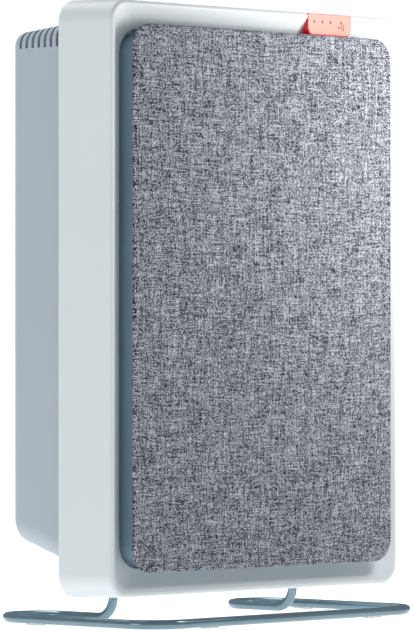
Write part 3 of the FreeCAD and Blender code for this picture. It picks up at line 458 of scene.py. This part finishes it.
def piece_from(build, name):
    """Turn a finished build into an object in the scene."""
    mesh = bpy.data.meshes.new(name)
    build.to_mesh(mesh)
    build.free()
    piece = bpy.data.objects.new(name, mesh)
    bpy.context.scene.collection.objects.link(piece)
    return piece


def smooth(piece, angle=40):
    """Smooth shading with sharp edges kept above an angle."""
    for polygon in piece.data.polygons:
        polygon.use_smooth = True
    build = bmesh.new()
    build.from_mesh(piece.data)
    limit = math.radians(angle)
    for edge in build.edges:
        edge.smooth = len(edge.link_faces) == 2 and edge.calc_face_angle() < limit
    build.to_mesh(piece.data)
    build.free()


def thicken(piece, gauge, offset):
    """Give a piece of one layer its thickness."""
    layer = piece.modifiers.new("gauge", "SOLIDIFY")
    layer.thickness = gauge
    layer.offset = offset
    shape = bpy.data.meshes.new_from_object(piece.evaluated_get(bpy.context.evaluated_depsgraph_get()))
    piece.modifiers.clear()
    piece.data = shape


# ---- soft pieces ----


def cover_profile(thickness):
    """Section of the cover as inset and depth: front, rolled edge, side and the turn behind the board."""
    profile = [(inset * MM, 0.0) for inset in (13.0, 8.0, 4.0, 2.4)]
    quarter = [math.radians(90 * step / ROLL_STEPS) for step in range(ROLL_STEPS + 1)]
    for angle in quarter:
        profile.append((COVER_ROLL * (1 - math.sin(angle)), COVER_ROLL * (1 - math.cos(angle))))
    for angle in quarter:
        depth = thickness - COVER_ROLL * (1 - math.sin(angle))
        profile.append((COVER_ROLL * (1 - math.cos(angle)), depth))
    return profile + [(share * COVER_TURN_IN, thickness) for share in (0.3, 0.45, 0.6, 0.8, 1.0)]


def cover_ring(build, outline, front, thickness, inset, depth, flat):
    """One ring of the cover's points, with a slight swell at the edge and pleats behind the corners."""
    cloth_layer = build.verts.layers.float_vector["cloth"]
    behind = max(0.0, min(1.0, (depth - thickness + HEM_ONSET) / HEM_ONSET)) * inset / COVER_TURN_IN
    ring = []
    for x, z, out_x, out_z in outline:
        swell = noise.noise(Vector((x, 0.0, z)) * SWELL_SCALE) * SWELL_HEIGHT
        in_corner = min(abs(out_x), abs(out_z)) * math.sqrt(2)
        pleat = math.cos(math.atan2(out_z, out_x) * PLEATS_ROUND) * PLEAT_HEIGHT * in_corner * behind
        edge = inset - swell * min(1.0, depth / COVER_ROLL) * (1 - behind)
        vert = build.verts.new((x - out_x * edge, front + depth + pleat, z - out_z * edge))
        vert[cloth_layer] = (x + out_x * flat, z + out_z * flat, 0.0)
        ring.append(vert)
    return ring


def fabric_cover():
    """The woven cover: flat front, rolled edge and a return with gathered corners behind the board."""
    low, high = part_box("panel_fabric")
    board_low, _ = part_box("panel_board")
    thickness = high.y - low.y
    outline = rounded_outline(high.x, low.z, high.z, COVER_CORNER, COVER_STEP)
    profile = cover_profile(thickness)
    build = bmesh.new()
    build.verts.layers.float_vector.new("cloth")
    flat = -profile[0][0]
    rings = []
    for number, (inset, depth) in enumerate(profile):
        if number:
            flat += math.dist(profile[number - 1], profile[number])
        rings.append(cover_ring(build, outline, low.y, thickness, inset, depth, flat))
    build.faces.new(rings[0])
    bridge(build, rings)
    bmesh.ops.recalc_face_normals(build, faces=build.faces)
    cover = piece_from(build, "fabric_cover")
    thicken(cover, (board_low.y - low.y) * 0.8, -1.0)
    smooth(cover, 50)
    dress(cover, "fabric_grey")
    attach(cover, "panel")
    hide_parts("panel_fabric")


def net_strands(build, span, run, depth, gauge, turned):
    """Parallel flat strands spaced over a span, upright or, when turned, level."""
    low, high = span
    count = int((high - low - 2 * NET_STRAND) / NET_PITCH)
    start = (low + high - count * NET_PITCH) / 2
    for number in range(count + 1):
        middle = start + number * NET_PITCH
        verts = []
        for side in (-1, 1):
            for back in (0, 1):
                for end in run:
                    spot = (middle + side * NET_STRAND / 2, depth + back * gauge, end)
                    verts.append(build.verts.new(spot[::-1] if turned else spot))
        for face in BOX_FACES:
            build.faces.new([verts[corner] for corner in face])


def filter_net():
    """Fine net of flat strands stretched in the coarse filter's rim."""
    low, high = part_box("prefilter_mesh")
    gauge = (high.y - low.y) / 2
    build = bmesh.new()
    net_strands(build, (low.x, high.x), (low.z, high.z), low.y, gauge, False)
    net_strands(build, (low.z, high.z), (low.x, high.x), low.y + gauge, gauge, True)
    bmesh.ops.recalc_face_normals(build, faces=build.faces)
    net = piece_from(build, "filter_net")
    dress(net, "net_dark")
    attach(net, "filter")
    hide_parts("prefilter_mesh")


def ribbon_row(build, low, high, share):
    """One row of points across the ribbon, from its top at 0 to its free end at 1."""
    height = high.z - (high.z - low.z) * share
    lift = (high.y - low.y - RIBBON_GAUGE) * (0.5 - 0.5 * math.cos(share * math.pi * 1.5)) * 0.8
    row = []
    for column in range(RIBBON_COLUMNS + 1):
        side = column / RIBBON_COLUMNS
        cup = RIBBON_CUP * (2 * side - 1) ** 2
        x = low.x + (high.x - low.x) * side
        row.append(build.verts.new((x, high.y - RIBBON_GAUGE - lift - cup, height)))
    return row


def pull_ribbon():
    """Short ribbon hanging in front of the filter, with a curl at its free end."""
    low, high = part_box("filter_ribbon")
    build = bmesh.new()
    rows = [ribbon_row(build, low, high, step / RIBBON_ROWS) for step in range(RIBBON_ROWS + 1)]
    for upper, lower in zip(rows, rows[1:]):
        for column in range(RIBBON_COLUMNS):
            build.faces.new((upper[column], upper[column + 1], lower[column + 1], lower[column]))
    ribbon = piece_from(build, "pull_ribbon")
    thicken(ribbon, RIBBON_GAUGE, 0.0)
    smooth(ribbon)
    dress(ribbon, "ribbon_red")
    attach(ribbon, "filter")
    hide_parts("filter_ribbon")


def seal_section(low, high):
    """Section of the seal as inset and depth: a crowned face and a flat back."""
    section = []
    for step in range(CROWN_STEPS + 1):
        share = step / CROWN_STEPS
        crown = math.sin(share * math.pi) ** 0.5
        inset = SEAL_EDGE + (SEAL_WIDTH - 2 * SEAL_EDGE) * share
        section.append((inset, low.y + (high.y - low.y) * (0.35 + 0.65 * crown)))
    return section + [(SEAL_WIDTH - SEAL_EDGE, low.y), (SEAL_EDGE, low.y)]


def foam_seal():
    """Foam strip with a crowned face round the back of the filter."""
    low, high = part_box("filter_seal")
    build = bmesh.new()
    rings = []
    for inset, depth in seal_section(low, high):
        corner = SEAL_CORNER - inset
        outline = rounded_outline(high.x - inset, low.z + inset, high.z - inset, corner, SEAL_STEP)
        rings.append([build.verts.new((x, depth, z)) for x, z, _, _ in outline])
    bridge(build, rings + rings[:1])
    bmesh.ops.recalc_face_normals(build, faces=build.faces)
    seal = piece_from(build, "foam_seal")
    smooth(seal, 60)
    dress(seal, "foam_grey")
    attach(seal, "filter")
    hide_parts("filter_seal")


fabric_cover()
filter_net()
pull_ribbon()
foam_seal()

# ---- floor, lights and camera ----

FLOOR_RADIUS = 40.0
FLOOR_GLOW = 1.0
ROOM_LIGHT = 0.2
ROOM_BLUE = (0.82, 0.91, 1.0, 1.0)
WHITE = (1.0, 1.0, 1.0, 1.0)
WARM = (1.0, 0.965, 0.93)


def pale_floor():
    """Wide round pale floor with a glow of its own, so that it reads as white."""
    build = bmesh.new()
    bmesh.ops.create_circle(build, cap_ends=True, segments=96, radius=FLOOR_RADIUS)
    floor = piece_from(build, "floor")
    look = Finish("floor_pale")
    share = look.fit(look.noise(3, 3), 0.3, 0.7, 0, 1)
    colour = look.blend(share, linear(186, 187, 188), linear(190, 191, 192))
    floor.data.materials.append(look.finish(Base_Color=colour, Roughness=0.8, Specular_IOR_Level=0.0,
                                            Emission_Color=WHITE, Emission_Strength=FLOOR_GLOW))


def softbox(name, place, target, side, power, colour=WHITE[:3]):
    """A square lamp that faces a point."""
    lamp = bpy.data.lights.new(name, "AREA")
    lamp.shape = "SQUARE"
    lamp.size = side
    lamp.energy = power
    lamp.color = colour
    holder = bpy.data.objects.new(name, lamp)
    holder.location = place
    holder.rotation_euler = (Vector(target) - Vector(place)).to_track_quat("-Z", "Y").to_euler()
    holder.visible_camera = False
    bpy.context.scene.collection.objects.link(holder)


def studio():
    """Dim bluish room, broad lights at left and above, and a small warm one at the upper right."""
    world = bpy.data.worlds.new("studio")
    world.use_nodes = True
    tree = world.node_tree
    room = tree.nodes["Background"]
    room.inputs["Color"].default_value = ROOM_BLUE
    room.inputs["Strength"].default_value = ROOM_LIGHT
    seen = tree.nodes.new("ShaderNodeBackground")
    seen.inputs["Color"].default_value = WHITE
    seen.inputs["Strength"].default_value = 1.0
    path = tree.nodes.new("ShaderNodeLightPath")
    mix = tree.nodes.new("ShaderNodeMixShader")
    tree.links.new(path.outputs["Is Camera Ray"], mix.inputs["Fac"])
    tree.links.new(room.outputs["Background"], mix.inputs[1])
    tree.links.new(seen.outputs["Background"], mix.inputs[2])
    tree.links.new(mix.outputs["Shader"], tree.nodes["World Output"].inputs["Surface"])
    bpy.context.scene.world = world
    softbox("key_light", (0.18, -0.25, 0.32), (0.18, 0.0, 0.32), 0.15, 1.0, WARM)
    softbox("top_light", (0.0, 0.9, 2.2), (0.0, 0.0, 0.3), 1.5, 30.0)
    softbox("left_light", (-3.0, 0.25, 0.35), (0.0, 0.05, 0.2), 1.6, 15.0)


def photo_camera():
    """Long lens at the front left, level with the middle of the object."""
    lens = bpy.data.cameras.new("camera")
    lens.sensor_width = 36.0
    lens.lens = 277.04
    lens.clip_end = 60.0
    camera = bpy.data.objects.new("camera", lens)
    yaw = math.radians(47.329)
    rise = math.radians(0.278)
    sight = Vector((math.sin(yaw) * math.cos(rise), math.cos(yaw) * math.cos(rise), math.sin(rise)))
    camera.location = (-2.0694, -1.9048, 0.1624)
    camera.rotation_euler = sight.to_track_quat("-Z", "Y").to_euler()
    bpy.context.scene.collection.objects.link(camera)
    bpy.context.scene.camera = camera


pale_floor()
studio()
photo_camera()
bpy.context.scene.view_settings.view_transform = "Standard"
